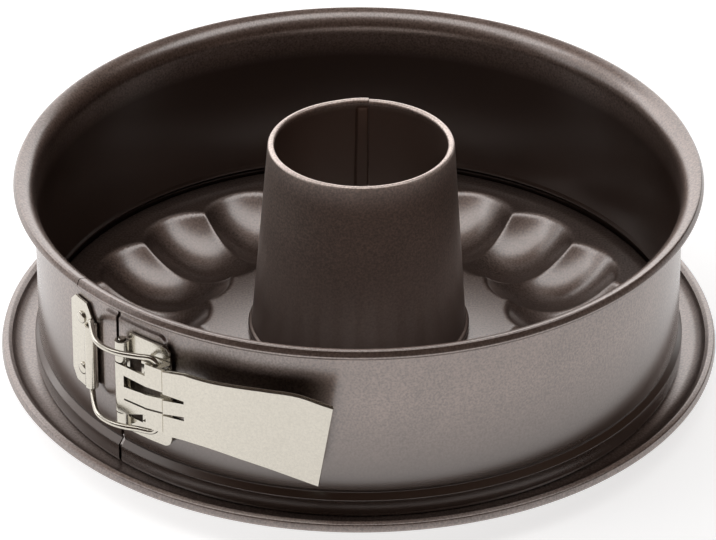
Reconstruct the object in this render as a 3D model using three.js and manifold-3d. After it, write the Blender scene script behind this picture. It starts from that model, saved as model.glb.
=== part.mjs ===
import * as THREE from 'three';
import { mergeVertices } from 'three/addons/utils/BufferGeometryUtils.js';
import Module from 'manifold-3d';

const wasm = await Module();
wasm.setup();

// A small springform pan: a scalloped tube base and a split wall closed by a lever latch.
// Millimetres, +Z up from the table. Angles are degrees from the front, growing to the left.

// Clearances
const seat_gap = 0.3;
const channel_gap = 0.4;
const slit_gap = 0.5;

// Base
const base_sheet = 0.6;
const bowl_count = 20;
const bowl_depth = 11.4;
const bowl_half_width = 18.4;
const inner_land = 14.2;
const outer_land = 8.8;
const step_round = 2.0;
const channel_width = 4.4;
const lip_slope = 3.6;
const lip_roll = 1.7;
const lip_drop = 2.0;

// Wall
const inside_radius = 100;
const wall_sheet = 0.6;
const wall_depth = 55;
const rim_flare = 6.7;
const rim_hem = 1.2;
const rim_lean = 105;
const bead_step = 1.2;
const bead_height = 5.9;
const crease_lift = 2.9;
const crease_height = 1.4;
const slit_angle = 45.1;
const tongue_angle = 6;
const rim_break_angle = 52;
const rim_cut = 168;

// Pressed boss behind the latch, with its heights counted from the middle of the bail
const boss_low = -11.6;
const boss_high = 18.6;
const boss_rise = 0.9;
const boss_inset_left = 2.2;
const boss_inset_right = 1.4;
const boss_slope = 0.5;

// Tube
const tube_sheet = 0.6;
const tube_foot_radius = 33.4;
const tube_top_radius = 28.7;
const tube_height = 65.75;
const tube_roll = 0.6;
const tube_bead = 1.1;
const tube_neck = 1.2;
const tube_crimp = 1.9;
const seam_angle = 183;
const seam_width = 3.6;
const seam_rise = 0.8;
const seam_top = 4;

// Latch, with its heights counted from the middle of the bail
const latch_offset = -0.45;
const latch_sheet = 0.8;
const wire_radius = 0.9;
const pin_radius = 1.1;
const rivet_radius = 1.0;
const rivet_head = 2.0;
const rivet_rise = 1.0;

const keeper_left_angle = 59;
const curl_angle = 51.8;
const keeper_low = -14.2;
const keeper_high = 16.2;
const keeper_chamfer = 2.6;
const keeper_rivet_low = -8.1;
const keeper_rivet_high = 10.1;
const curl_end = 0.5;

const pin_angle = 43;
const bracket_right_angle = 33.2;
const bracket_low = -19;
const bracket_high = 16;
const bracket_corner = 3;
const bracket_rivet_inset = 1.5;
const bracket_rivet_low = -6;
const bracket_rivet_high = 4;
const barrel_low = -16.5;
const barrel_high = 13.4;
const knuckle_low = -11.2;
const knuckle_high = 6.1;
const pin_end = 0.6;

const hook_angle = 35;
const hook_clear = 2.0;
const bail_half = 12.9;
const bail_hook = 4.2;
const bail_bend = 1.4;
const bow_clear = 3.1;

const lever_sheet = 0.9;
const ear_left_angle = 36.6;
const ear_right_angle = 32.8;
const ear_low_gap = 2.0;
const ear_high_gap = 1.5;
const ear_web = 0.05;
const ear_slot_to_pin = 2.8;
const ear_slot_from_pin = 0.3;
const ear_slot_inward = 0.95;
const slot_end_angle = 28.7;
const tip_low_angle = 6.3;
const tip_high_angle = 3.9;

// Lever plate from the slots' end to the tip: share of its length, reach past the ears, low and high edge
const lever_plate = [
  [0, 0.8, -10.3, 12.6],
  [0.19, 1.0, -10.6, 12.6],
  [0.41, 0.5, -12.4, 12.7],
  [0.63, 0.1, -14.6, 12.8],
  [0.85, 0.5, -17, 12.4],
  [1, 2.0, -18.1, 10.4],
];

// Derived places
const floor_z = bowl_depth + base_sheet;
const wall_mid = inside_radius + wall_sheet / 2;
const wall_out = inside_radius + wall_sheet;
const rim_z = floor_z + wall_depth;
const crease_z = floor_z + crease_lift;
const foot_z = crease_z - crease_height - bead_height;
const step_radius = wall_mid + bead_step - wall_sheet / 2 - channel_gap;
const channel_z = foot_z - channel_gap;
const first_bowl = tube_foot_radius + inner_land;
const last_bowl = inside_radius - outer_land;
const bowl_circle_radius = (first_bowl + last_bowl) / 2;
const bowl_half_length = (last_bowl - first_bowl) / 2;
const latch_z = (crease_z + rim_z) / 2 + latch_offset;
const boss_left_angle = curl_angle - boss_inset_left;
const boss_right_angle = bracket_right_angle + boss_inset_right;
const keeper_rivet_angle = (keeper_left_angle + curl_angle) / 2;
const bracket_rivet_angle = slit_angle - tongue_angle - bracket_rivet_inset;
const keeper_mid = wall_out + seat_gap + latch_sheet / 2;
const curl_mid = wire_radius + seat_gap + latch_sheet / 2;
const curl_radius = keeper_mid + curl_mid;
const curl_half = bail_half - bail_bend - curl_end;
const bracket_mid = wall_out + boss_rise + seat_gap + latch_sheet / 2;
const knuckle_mid = pin_radius + seat_gap + latch_sheet / 2;
const pin_axis_radius = bracket_mid + knuckle_mid;
const lever_knuckle = pin_radius + seat_gap + lever_sheet / 2;
const hook_room = wire_radius + seat_gap;
const hook_radius = bracket_mid + latch_sheet / 2 + hook_clear + wire_radius;
const bow_radius = pin_axis_radius + knuckle_mid + latch_sheet / 2 + bow_clear + wire_radius;
const ear_low = ear_low_gap - bail_half;
const ear_high = bail_half - ear_high_gap;
const ear_radius = hook_radius + hook_room + ear_web + lever_sheet / 2;

const coating = new THREE.MeshStandardMaterial({ color: 0x4a3f3b, metalness: 0.55, roughness: 0.42 });
const tinned = new THREE.MeshStandardMaterial({ color: 0xd8d4c4, metalness: 0.9, roughness: 0.28 });

const radians = THREE.MathUtils.degToRad;

// Directions and places round the pan
function outward(angle) {
  return new THREE.Vector3(-Math.sin(radians(angle)), -Math.cos(radians(angle)), 0);
}

function rightward(angle) {
  return new THREE.Vector3(Math.cos(radians(angle)), -Math.sin(radians(angle)), 0);
}

function place(angle, radius, z) {
  return outward(angle).multiplyScalar(radius).setZ(z);
}

function plan(angle, radius) {
  const point = place(angle, radius, 0);
  return new THREE.Vector2(point.x, point.y);
}

// Places round an upright axis: turn 0 is rightward along the wall and 90 is outward
function around(angle, radius, reach, turn) {
  const centre = place(angle, radius, 0);
  centre.addScaledVector(rightward(angle), reach * Math.cos(radians(turn)));
  centre.addScaledVector(outward(angle), reach * Math.sin(radians(turn)));
  return new THREE.Vector2(centre.x, centre.y);
}

function spread(from, to, steps) {
  return Array.from({ length: steps + 1 }, (unused, i) => from + ((to - from) * i) / steps);
}

// A polyline moved sideways by a distance, with mitred corners
function beside(path, distance) {
  return path.map((point, i) => {
    const before = path[Math.max(i - 1, 0)];
    const after = path[Math.min(i + 1, path.length - 1)];
    const a = point.clone().sub(before);
    const b = after.clone().sub(point);
    const first = (a.length() > 0 ? a : b).normalize();
    const second = (b.length() > 0 ? b : a).normalize();
    const miter = new THREE.Vector2(-first.y - second.y, first.x + second.x);
    return point.clone().addScaledVector(miter, distance / (1 + first.dot(second)));
  });
}

// Turns a list of triangles into one closed geometry with its faces out
function closedGeometry(source) {
  const bare = new THREE.BufferGeometry();
  bare.setAttribute('position', source.getAttribute('position').clone());
  if (source.index) {
    bare.setIndex(source.index.clone());
  }
  const geometry = mergeVertices(bare.index ? bare.toNonIndexed() : bare, 1e-4);
  const index = geometry.index.array;
  const corner = (k) => new THREE.Vector3().fromBufferAttribute(geometry.attributes.position, index[k]);
  let volume = 0;
  for (let k = 0; k < index.length; k += 3) {
    volume += corner(k).dot(corner(k + 1).cross(corner(k + 2)));
  }
  if (volume < 0) {
    for (let k = 0; k < index.length; k += 3) {
      [index[k], index[k + 1]] = [index[k + 1], index[k]];
    }
  }
  geometry.computeVertexNormals();
  return geometry;
}

function solid(geometry) {
  const closed = closedGeometry(geometry);
  const vertProperties = new Float32Array(closed.attributes.position.array);
  const triVerts = new Uint32Array(closed.index.array);
  return new wasm.Manifold(new wasm.Mesh({ numProp: 3, vertProperties, triVerts }));
}

function geometryOf(body) {
  const mesh = body.getMesh();
  const geometry = new THREE.BufferGeometry();
  geometry.setAttribute('position', new THREE.BufferAttribute(new Float32Array(mesh.vertProperties), 3));
  geometry.setIndex(new THREE.BufferAttribute(new Uint32Array(mesh.triVerts), 1));
  return closedGeometry(geometry);
}

// A sheet between two faces of points, by stations and rows; cells that are not present stay open
function sheetGeometry(front, back, wraps, present) {
  const stations = front.length;
  const rows = front[0].length;
  const cells = wraps ? stations : stations - 1;
  const positions = [];
  const quad = (a, b, c, d) => {
    for (const point of [a, b, c, a, c, d]) {
      positions.push(point.x, point.y, point.z);
    }
  };
  const filled = (i, j) => {
    const station = wraps ? (i + cells) % cells : i;
    return station >= 0 && station < cells && j >= 0 && j < rows - 1 && present(station, j);
  };
  for (let i = 0; i < cells; i += 1) {
    const next = (i + 1) % stations;
    for (let j = 0; j < rows - 1; j += 1) {
      if (!filled(i, j)) {
        continue;
      }
      quad(front[i][j], front[next][j], front[next][j + 1], front[i][j + 1]);
      quad(back[i][j], back[i][j + 1], back[next][j + 1], back[next][j]);
      if (!filled(i - 1, j)) {
        quad(front[i][j], front[i][j + 1], back[i][j + 1], back[i][j]);
      }
      if (!filled(i + 1, j)) {
        quad(front[next][j + 1], front[next][j], back[next][j], back[next][j + 1]);
      }
      if (!filled(i, j - 1)) {
        quad(front[next][j], front[i][j], back[i][j], back[next][j]);
      }
      if (!filled(i, j + 1)) {
        quad(front[i][j + 1], front[next][j + 1], back[next][j + 1], back[i][j + 1]);
      }
    }
  }
  const geometry = new THREE.BufferGeometry();
  geometry.setAttribute('position', new THREE.Float32BufferAttribute(positions, 3));
  return closedGeometry(geometry);
}

// An upright prism over a plan outline
function prism(outline, low, high) {
  const shape = new THREE.Shape(outline);
  const geometry = new THREE.ExtrudeGeometry(shape, { depth: high - low, bevelEnabled: false });
  return solid(geometry.translate(0, 0, low));
}

// An upright prism along a bent strip of sheet
function stripPrism(path, thickness, low, high) {
  const outline = [...beside(path, thickness / 2), ...beside(path, -thickness / 2).reverse()];
  return prism(outline, low, high);
}

// A prism that stands straight out from the wall, over an outline drawn rightward and upward
function facePrism(shape, angle, radius, depth) {
  const geometry = new THREE.ExtrudeGeometry(shape, { depth, bevelEnabled: false, curveSegments: 4 });
  const frame = new THREE.Matrix4().makeBasis(rightward(angle), new THREE.Vector3(0, 0, 1), outward(angle));
  frame.setPosition(place(angle, radius, 0));
  return solid(geometry.applyMatrix4(frame));
}

function crossHole(angle, z, radius) {
  const shape = new THREE.Shape(ring(radius, 10).map((point) => point.add(new THREE.Vector2(0, z))));
  return facePrism(shape, angle, inside_radius - 10, 20);
}

function ring(radius, sides) {
  const turns = spread(0, 360, sides).slice(0, -1).map(radians);
  return turns.map((turn) => new THREE.Vector2(radius * Math.cos(turn), radius * Math.sin(turn)));
}

// A revolved sheet: the strip along a profile of radius and height
function revolvedSheet(profile, thickness, segments) {
  const outline = [...beside(profile, thickness / 2), ...beside(profile, -thickness / 2).reverse()];
  outline.push(outline[0].clone());
  return closedGeometry(new THREE.LatheGeometry(outline, segments).rotateX(Math.PI / 2));
}

// Depth of the pressed bowls at a place on the floor
function bowlDepth(angle, radius) {
  const pitch = 360 / bowl_count;
  const offset = radians(angle - pitch * (Math.floor(angle / pitch) + 0.5));
  const along = (radius * Math.cos(offset) - bowl_circle_radius) / bowl_half_length;
  const across = (radius * Math.sin(offset)) / bowl_half_width;
  return bowl_depth * Math.max(0, 1 - along * along - across * across);
}

// Base: floor with bowls, step, channel and rolled lip, out from the tube's hole
function baseGeometry() {
  const hole_radius = tube_foot_radius - tube_neck + tube_sheet / 2 + seat_gap;
  const point = (radius, z) => new THREE.Vector2(radius, z);
  const bowl_rows = [0, 0.28, 0.62, 1].map((t) => first_bowl + t * (bowl_circle_radius - first_bowl));
  const outer_rows = [0.36, 0.7, 1].map((t) => bowl_circle_radius + t * (last_bowl - bowl_circle_radius));
  const channel_in = step_radius + channel_gap;
  const channel_out = channel_in + channel_width;
  const roll_radius = channel_out + lip_slope + lip_roll;
  const lip_z = floor_z - lip_drop;
  const round = 0.3 * step_round;
  const profile = [
    point(hole_radius, floor_z),
    ...bowl_rows.map((radius) => point(radius, floor_z)),
    ...outer_rows.map((radius) => point(radius, floor_z)),
    point(step_radius - step_round, floor_z),
    point(step_radius - round, floor_z - round),
    point(step_radius, floor_z - step_round),
    point(step_radius, channel_z + channel_gap),
    point(channel_in, channel_z),
    point(channel_out, channel_z),
    point(roll_radius - lip_roll, lip_z),
    ...[110, 55, 0, -55].map((turn) => point(
      roll_radius + lip_roll * Math.cos(radians(turn)),
      lip_z + lip_roll * Math.sin(radians(turn)),
    )),
  ];
  const under = beside(profile, -base_sheet);
  const bowl_last = bowl_rows.length + outer_rows.length;
  const turns = spread(0, 360, bowl_count * 4).slice(0, -1);
  const face = (rows) => turns.map((angle) => rows.map((row, j) => {
    const drop = j >= 1 && j <= bowl_last ? bowlDepth(angle, profile[j].x) : 0;
    return place(angle, row.x, row.y - drop);
  }));
  return sheetGeometry(face(profile), face(under), true, () => true);
}

// Tube: crimped under the floor, beaded over it, tapered up to a rolled top, with a lock seam inside
function tubeGeometry() {
  const neck = tube_foot_radius - tube_neck;
  const crimp_z = floor_z - base_sheet - seat_gap - tube_sheet / 2;
  const bead_z = floor_z + seat_gap + tube_sheet / 2;
  const top_z = floor_z + tube_height;
  const profile = [
    new THREE.Vector2(neck + tube_crimp, crimp_z),
    new THREE.Vector2(neck, crimp_z),
    new THREE.Vector2(neck, bead_z),
    new THREE.Vector2(tube_foot_radius + tube_bead - 0.4, bead_z),
    new THREE.Vector2(tube_foot_radius + tube_bead, bead_z + 0.7),
    new THREE.Vector2(tube_foot_radius + tube_bead - 0.5, bead_z + 1.4),
    new THREE.Vector2(tube_foot_radius, bead_z + 1.9),
    new THREE.Vector2(tube_top_radius, top_z),
    ...[60, 120, 180, 235].map((turn) => new THREE.Vector2(
      tube_top_radius - tube_roll + tube_roll * Math.cos(radians(turn)),
      top_z + tube_roll * Math.sin(radians(turn)),
    )),
  ];
  const seam = seamGeometry(bead_z + tube_bead, top_z);
  return geometryOf(solid(revolvedSheet(profile, tube_sheet, 32)).add(solid(seam)));
}

// Lock seam: a flat fold up the inside of the tube's taper
function seamGeometry(low, top_z) {
  const half = (seam_width / 2 / tube_top_radius) * THREE.MathUtils.RAD2DEG;
  const angles = spread(seam_angle + half, seam_angle - half, 4);
  const taper = (z) => tube_foot_radius + ((tube_top_radius - tube_foot_radius) * (z - low)) / (top_z - low);
  const face = (inset) => angles.map((angle) => [low + tube_bead, top_z - seam_top].map(
    (z) => place(angle, taper(z) - inset, z),
  ));
  return sheetGeometry(face(0), face(tube_sheet / 2 + seam_rise), false, () => true);
}

// Wall: one strip from the rim's break, round the pan, to the tongue that laps under the slit
function bandGeometry() {
  const wall = (z) => new THREE.Vector2(wall_mid, z);
  const bead = wall_mid + bead_step;
  const flare_z = rim_z - (rim_flare - rim_hem) * Math.sin(radians(rim_lean));
  const hem_radius = wall_mid + rim_flare + (rim_flare - rim_hem) * Math.cos(radians(rim_lean));
  const onArc = (radius, z, bend, turn) => new THREE.Vector2(
    radius + bend * Math.cos(radians(turn)),
    z + bend * Math.sin(radians(turn)),
  );
  const cut = (seat_gap / rim_flare) * THREE.MathUtils.RAD2DEG;
  const profile = [
    new THREE.Vector2(bead, foot_z),
    new THREE.Vector2(bead, crease_z - 1.5 * crease_height),
    new THREE.Vector2(bead - 0.2 * bead_step, crease_z - 0.8 * crease_height),
    wall(crease_z),
    wall(latch_z + boss_low - boss_slope),
    wall(latch_z + boss_low + boss_slope),
    wall(latch_z + boss_high - boss_slope),
    wall(latch_z + boss_high + boss_slope),
    wall(flare_z),
    ...[rim_cut, rim_cut - cut, 145, 125, rim_lean].map((turn) => (
      onArc(wall_mid + rim_flare, flare_z, rim_flare, turn)
    )),
    ...[20, -70].map((turn) => onArc(hem_radius, rim_z, rim_hem, turn)),
  ];
  const [crease_row, boss_row, break_row] = [3, 5, 9];
  const gap = (slit_gap / wall_mid) * THREE.MathUtils.RAD2DEG;
  const left_end = slit_angle + gap;
  const start = rim_break_angle;
  const slope = (boss_slope / wall_mid) * THREE.MathUtils.RAD2DEG;
  const edges = [boss_left_angle, boss_right_angle];
  const boss = edges.flatMap((angle) => [angle + slope, angle - slope]);
  const tongue_end = slit_angle - tongue_angle;
  const right_angles = [start, boss[0], boss[1], slit_angle, tongue_end, boss[2], boss[3]];
  const left_angles = [start + gap, boss[0], boss[1], left_end + 1.4, left_end, tongue_end + 2, tongue_end];
  const middle = spread(boss[3], left_angles[0] - 360, 56).slice(1, -1);
  const angles = [...right_angles, ...middle, ...left_angles.map((angle) => angle - 360)];
  const slit_right = right_angles.indexOf(slit_angle);
  const first_left = right_angles.length + middle.length;
  const last_whole = first_left + left_angles.indexOf(left_end);
  const onBoss = (station) => {
    const angle = station < first_left ? angles[station] : angles[station] + 360;
    return angle < boss_left_angle && angle > boss_right_angle;
  };
  const shift = (station, row) => {
    const on_wall = row >= crease_row && row <= break_row;
    if (on_wall && station >= last_whole) {
      return -wall_sheet - seat_gap;
    }
    return onBoss(station) && (row === boss_row || row === boss_row + 1) ? boss_rise : 0;
  };
  const present = (station, row) => {
    if (station < slit_right) {
      return row > break_row;
    }
    if (station >= last_whole) {
      return row >= crease_row && row < break_row;
    }
    return station < first_left || row < break_row;
  };
  const column = (rows, i) => rows.map((row, j) => place(angles[i], row.x + shift(i, j), row.y));
  const face = (rows) => angles.map((unused, i) => column(rows, i));
  const front = face(beside(profile, -wall_sheet / 2));
  const back = face(beside(profile, wall_sheet / 2));
  let body = solid(sheetGeometry(front, back, false, present));
  for (const [angle, z] of rivetPlaces()) {
    body = body.subtract(crossHole(angle, z, rivet_radius + seat_gap));
  }
  return geometryOf(body);
}

function rivetPlaces() {
  return [
    [keeper_rivet_angle, latch_z + keeper_rivet_high],
    [keeper_rivet_angle, latch_z + keeper_rivet_low],
    [bracket_rivet_angle, latch_z + bracket_rivet_high],
    [bracket_rivet_angle, latch_z + bracket_rivet_low],
  ];
}

// Rivet: a domed head outside the latch plate, a shank and a flat head inside the wall
function rivetGeometry(angle, z, plate_mid) {
  const head_z = plate_mid + latch_sheet / 2 + seat_gap;
  const inner_z = inside_radius - seat_gap;
  const profile = [
    new THREE.Vector2(0, inner_z - 0.5),
    new THREE.Vector2(rivet_head * 0.9, inner_z - 0.5),
    new THREE.Vector2(rivet_head * 0.9, inner_z),
    new THREE.Vector2(rivet_radius, inner_z),
    new THREE.Vector2(rivet_radius, head_z),
    new THREE.Vector2(rivet_head, head_z),
    new THREE.Vector2(rivet_head * 0.92, head_z + rivet_rise * 0.5),
    new THREE.Vector2(rivet_head * 0.6, head_z + rivet_rise * 0.9),
    new THREE.Vector2(0, head_z + rivet_rise),
  ];
  const frame = new THREE.Matrix4().makeBasis(rightward(angle), outward(angle), new THREE.Vector3(0, 0, -1));
  frame.setPosition(0, 0, z);
  return closedGeometry(new THREE.LatheGeometry(profile, 10).applyMatrix4(frame));
}

// Keeper: a plate with cut corners whose right edge curls round the bail's wire
function keeperGeometry() {
  const plate = spread(keeper_left_angle, curl_angle, 4).map((angle) => plan(angle, keeper_mid));
  const curl = spread(290, 565, 11).map((turn) => around(curl_angle, curl_radius, curl_mid, turn));
  const reach = (angle) => keeper_mid * Math.sin(radians(curl_angle - angle));
  const left = reach(keeper_left_angle) - 1;
  const right = curl_mid + latch_sheet;
  const low = latch_z + keeper_low;
  const high = latch_z + keeper_high;
  const edge = -curl_mid;
  const outline = new THREE.Shape([
    new THREE.Vector2(reach(keeper_left_angle) + keeper_chamfer, low),
    new THREE.Vector2(edge, low + keeper_chamfer),
    new THREE.Vector2(edge, latch_z - curl_half),
    new THREE.Vector2(right, latch_z - curl_half),
    new THREE.Vector2(right, latch_z + curl_half),
    new THREE.Vector2(edge, latch_z + curl_half),
    new THREE.Vector2(edge, high - keeper_chamfer),
    new THREE.Vector2(edge - keeper_chamfer, high),
    new THREE.Vector2(reach(keeper_left_angle) + keeper_chamfer, high),
    new THREE.Vector2(left, high - keeper_chamfer),
    new THREE.Vector2(left, low + keeper_chamfer),
  ]);
  let body = stripPrism([...plate, ...curl], latch_sheet, low, high);
  body = body.intersect(facePrism(outline, curl_angle, wall_out - 5, 15));
  for (const z of [keeper_rivet_high, keeper_rivet_low]) {
    body = body.subtract(crossHole(keeper_rivet_angle, latch_z + z, rivet_radius + seat_gap));
  }
  return geometryOf(body);
}

// Bracket: a plate with rounded right corners and two knuckles round the pin
function bracketGeometry() {
  const knuckle = [
    ...spread(-20, 240, 10).map((turn) => around(pin_angle, pin_axis_radius, knuckle_mid, turn)),
    plan(pin_angle, bracket_mid),
  ];
  const plate_end = pin_angle - 2;
  const plate = spread(plate_end, bracket_right_angle, 4).map((angle) => plan(angle, bracket_mid));
  const low = latch_z + bracket_low;
  const high = latch_z + bracket_high;
  const left = bracket_mid * Math.sin(radians(bracket_rivet_angle - pin_angle)) - 10;
  const right = bracket_mid * Math.sin(radians(bracket_rivet_angle - bracket_right_angle));
  const outline = new THREE.Shape();
  outline.moveTo(left, low);
  outline.lineTo(right - bracket_corner, low);
  outline.absarc(right - bracket_corner, low + bracket_corner, bracket_corner, -Math.PI / 2, 0);
  outline.absarc(right - bracket_corner, high - bracket_corner, bracket_corner, 0, Math.PI / 2);
  outline.lineTo(left, high);
  const bands = [[barrel_low, knuckle_low - channel_gap], [knuckle_high + channel_gap, barrel_high]];
  let body = stripPrism(plate, latch_sheet, low, high);
  for (const [from, to] of bands) {
    body = body.add(stripPrism([...knuckle, ...plate], latch_sheet, latch_z + from, latch_z + to));
  }
  body = body.intersect(facePrism(outline, bracket_rivet_angle, wall_out - 5, 20));
  for (const z of [bracket_rivet_high, bracket_rivet_low]) {
    body = body.subtract(crossHole(bracket_rivet_angle, latch_z + z, rivet_radius + seat_gap));
  }
  return geometryOf(body);
}

// Bail: one wire, hooked at both ends, that bows out round the hinge and runs through the curl
function bailGeometry() {
  const low = latch_z - bail_half;
  const high = latch_z + bail_half;
  const bow = [[3.2, 1], [0.6, 0], [-2.1, 0.6], [-5, 2.7]].map(
    ([turn, inset]) => place(pin_angle + turn, bow_radius - inset, 0),
  );
  const hook = place(hook_angle, hook_radius, 0);
  const curl = place(curl_angle, curl_radius, 0);
  const toward = (from, to, reach) => from.clone().add(to.clone().sub(from).setLength(reach));
  const arm = [toward(curl, bow[0], bail_bend), ...bow, toward(hook, bow.at(-1), bail_bend)];
  const half = (z, inward) => [
    curl.clone().setZ(z + inward * (bail_bend + 5)),
    curl.clone().setZ(z + inward * bail_bend),
    ...arm.map((point) => point.clone().setZ(z)),
    hook.clone().setZ(z + inward * bail_bend),
    hook.clone().setZ(z + inward * bail_hook),
  ];
  const points = [...half(high, -1).reverse(), ...half(low, 1)];
  const path = new THREE.CatmullRomCurve3(points, false, 'centripetal');
  const wire = new THREE.Shape(ring(wire_radius, 8));
  const options = { steps: 48, bevelEnabled: false, extrudePath: path };
  return closedGeometry(new THREE.ExtrudeGeometry(wire, options));
}

// Lever: knuckle, slotted neck and long plate as one lofted sheet, with two folded ears
function leverGeometry() {
  const levels = (...heights) => heights.map((height) => latch_z + height);
  const window_low = ear_low + 4;
  const window_high = ear_high - 4.3;
  const knuckle_end = knuckle_high + 1;
  const knuckle_rows = levels(knuckle_low - 1, knuckle_low, -5.8, -5.2, -1.1, 2.9, knuckle_high, knuckle_end);
  const neck_high = knuckle_high + 0.2;
  const neck_rows = levels(ear_low - 1, knuckle_low + 0.4, -5.8, -5.2, -1.1, 2.9, neck_high, ear_high);
  const ear_rows = levels(ear_low, window_low, -4.7, -4.1, 0.5, 2.7, window_high, ear_high);
  const joggle_rows = levels(ear_low, window_low, -4, -3.4, 1.4, 2.5, window_high, ear_high);
  const shares = [0, 0.16, 0.3, 0.36, 0.56, 0.6, 0.78, 1];
  const plate_rows = (low, high) => levels(...shares.map((share) => low + share * (high - low)));
  const wrapped = (turn) => ({
    point: () => around(pin_angle, pin_axis_radius, lever_knuckle, turn),
    rows: knuckle_rows,
  });
  const station = (angle, radius, rows, slant = 0) => ({
    point: (t) => plan(angle + slant * t, radius),
    rows,
  });
  const plate_station = ([share, reach, low, high]) => station(
    slot_end_angle + share * (tip_low_angle - slot_end_angle),
    ear_radius + reach,
    plate_rows(low, high),
    share ** 6 * (tip_high_angle - tip_low_angle),
  );
  const stations = [
    ...spread(320, 90, 6).map(wrapped),
    station(pin_angle - 1.5, pin_axis_radius + lever_knuckle + 0.1, neck_rows),
    station(ear_left_angle + 0.2, ear_radius - 0.1, ear_rows),
    station(ear_left_angle - 0.2, ear_radius, ear_rows),
    station(ear_right_angle, ear_radius, joggle_rows),
    station(ear_right_angle - 0.8, ear_radius + 0.6, joggle_rows),
    ...lever_plate.map(plate_station),
  ];
  const first_slot = stations.findIndex((each) => each.rows === neck_rows);
  const ear_start = first_slot + 2;
  const slot_end = ear_start + 3;
  const present = (i, j) => {
    if (i < ear_start && (j === 0 || j === 6)) {
      return false;
    }
    const slotted = i >= first_slot && i < slot_end;
    return !(slotted && (j === 2 || j === 4));
  };
  const row_share = (each, j) => (each.rows[j] - each.rows[0]) / (each.rows[7] - each.rows[0]);
  const face = (side) => {
    const columns = [0, 1, 2, 3, 4, 5, 6, 7].map((j) => {
      const path = stations.map((each) => each.point(row_share(each, j)));
      const edge = beside(path, (side * lever_sheet) / 2);
      return edge.map((point, i) => new THREE.Vector3(point.x, point.y, stations[i].rows[j]));
    });
    return stations.map((unused, i) => columns.map((column) => column[i]));
  };
  let body = solid(sheetGeometry(face(1), face(-1), false, present));
  const ear_in = bracket_mid + latch_sheet / 2 + seat_gap;
  const ear = [
    ...spread(ear_left_angle + 0.9, ear_right_angle, 3).map((angle) => plan(angle, ear_radius)),
    ...spread(ear_right_angle, ear_left_angle + 0.9, 3).map((angle) => plan(angle, ear_in)),
  ];
  const slot = earSlot();
  for (const low of [ear_low, ear_high - lever_sheet]) {
    const tab = prism(ear, latch_z + low, latch_z + low + lever_sheet);
    body = body.add(tab).subtract(prism(slot, latch_z + low - 0.5, latch_z + low + lever_sheet + 0.5));
  }
  return geometryOf(body);
}

// Opening in an ear that the bail's hook shifts in as the lever swings
function earSlot() {
  const hook = plan(hook_angle, hook_radius);
  const along = plan(pin_angle, pin_axis_radius).sub(hook).normalize();
  const across = new THREE.Vector2(-along.y, along.x);
  const corner = (u, w) => hook.clone().addScaledVector(along, u).addScaledVector(across, w);
  return [
    corner(-ear_slot_from_pin - hook_room, -ear_slot_inward - hook_room),
    corner(ear_slot_to_pin + hook_room, -ear_slot_inward - hook_room),
    corner(ear_slot_to_pin + hook_room, hook_room),
    corner(-ear_slot_from_pin - hook_room, hook_room),
  ];
}

function pinGeometry() {
  const length = barrel_high - barrel_low + 2 * pin_end;
  const axis = place(pin_angle, pin_axis_radius, latch_z + (barrel_high + barrel_low) / 2);
  const geometry = new THREE.CylinderGeometry(pin_radius, pin_radius, length, 12).rotateX(Math.PI / 2);
  return closedGeometry(geometry.translate(axis.x, axis.y, axis.z));
}

const pan = new THREE.Group();

function add(name, geometry, material) {
  const mesh = new THREE.Mesh(geometry, material);
  mesh.name = name;
  pan.add(mesh);
}

const [keeper_upper, keeper_lower, bracket_upper, bracket_lower] = rivetPlaces();
add('base_plate', baseGeometry(), coating);
add('tube', tubeGeometry(), coating);
add('band', bandGeometry(), coating);
add('keeper_plate', keeperGeometry(), tinned);
add('keeper_rivet_upper', rivetGeometry(...keeper_upper, keeper_mid), tinned);
add('keeper_rivet_lower', rivetGeometry(...keeper_lower, keeper_mid), tinned);
add('bail', bailGeometry(), tinned);
add('bracket', bracketGeometry(), tinned);
add('bracket_rivet_upper', rivetGeometry(...bracket_upper, bracket_mid), tinned);
add('bracket_rivet_lower', rivetGeometry(...bracket_lower, bracket_mid), tinned);
add('pivot_pin', pinGeometry(), tinned);
add('lever', leverGeometry(), tinned);

export default pan;
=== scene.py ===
import math

import bmesh
import bpy
import numpy as np
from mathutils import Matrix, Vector


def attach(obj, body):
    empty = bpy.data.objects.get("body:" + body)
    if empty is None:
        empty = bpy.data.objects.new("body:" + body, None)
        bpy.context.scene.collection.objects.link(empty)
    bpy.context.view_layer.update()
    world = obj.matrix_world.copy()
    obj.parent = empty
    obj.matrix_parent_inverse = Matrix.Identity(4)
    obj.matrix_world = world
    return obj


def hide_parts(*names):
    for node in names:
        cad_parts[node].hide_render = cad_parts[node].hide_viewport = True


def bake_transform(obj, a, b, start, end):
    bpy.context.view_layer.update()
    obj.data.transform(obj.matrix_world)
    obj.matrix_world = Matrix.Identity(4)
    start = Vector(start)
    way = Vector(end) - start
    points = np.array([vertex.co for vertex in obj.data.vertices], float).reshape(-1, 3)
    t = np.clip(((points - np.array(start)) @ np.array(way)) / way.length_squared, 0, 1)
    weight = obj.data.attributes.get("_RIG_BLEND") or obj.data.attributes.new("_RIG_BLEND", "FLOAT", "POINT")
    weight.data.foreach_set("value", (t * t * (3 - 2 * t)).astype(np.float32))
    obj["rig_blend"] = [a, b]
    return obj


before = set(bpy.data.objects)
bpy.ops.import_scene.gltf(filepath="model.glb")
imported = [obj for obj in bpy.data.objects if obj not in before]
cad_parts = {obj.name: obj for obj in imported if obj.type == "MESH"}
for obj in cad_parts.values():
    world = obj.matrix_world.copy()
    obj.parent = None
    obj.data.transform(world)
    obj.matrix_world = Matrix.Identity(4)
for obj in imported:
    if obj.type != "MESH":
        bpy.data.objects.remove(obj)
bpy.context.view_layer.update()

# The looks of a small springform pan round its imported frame.
# Sizes are in millimetres. Angles are degrees from the front, growing to the left.

MM = 0.001
UP = np.array((0, 0, 1.0))

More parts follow.
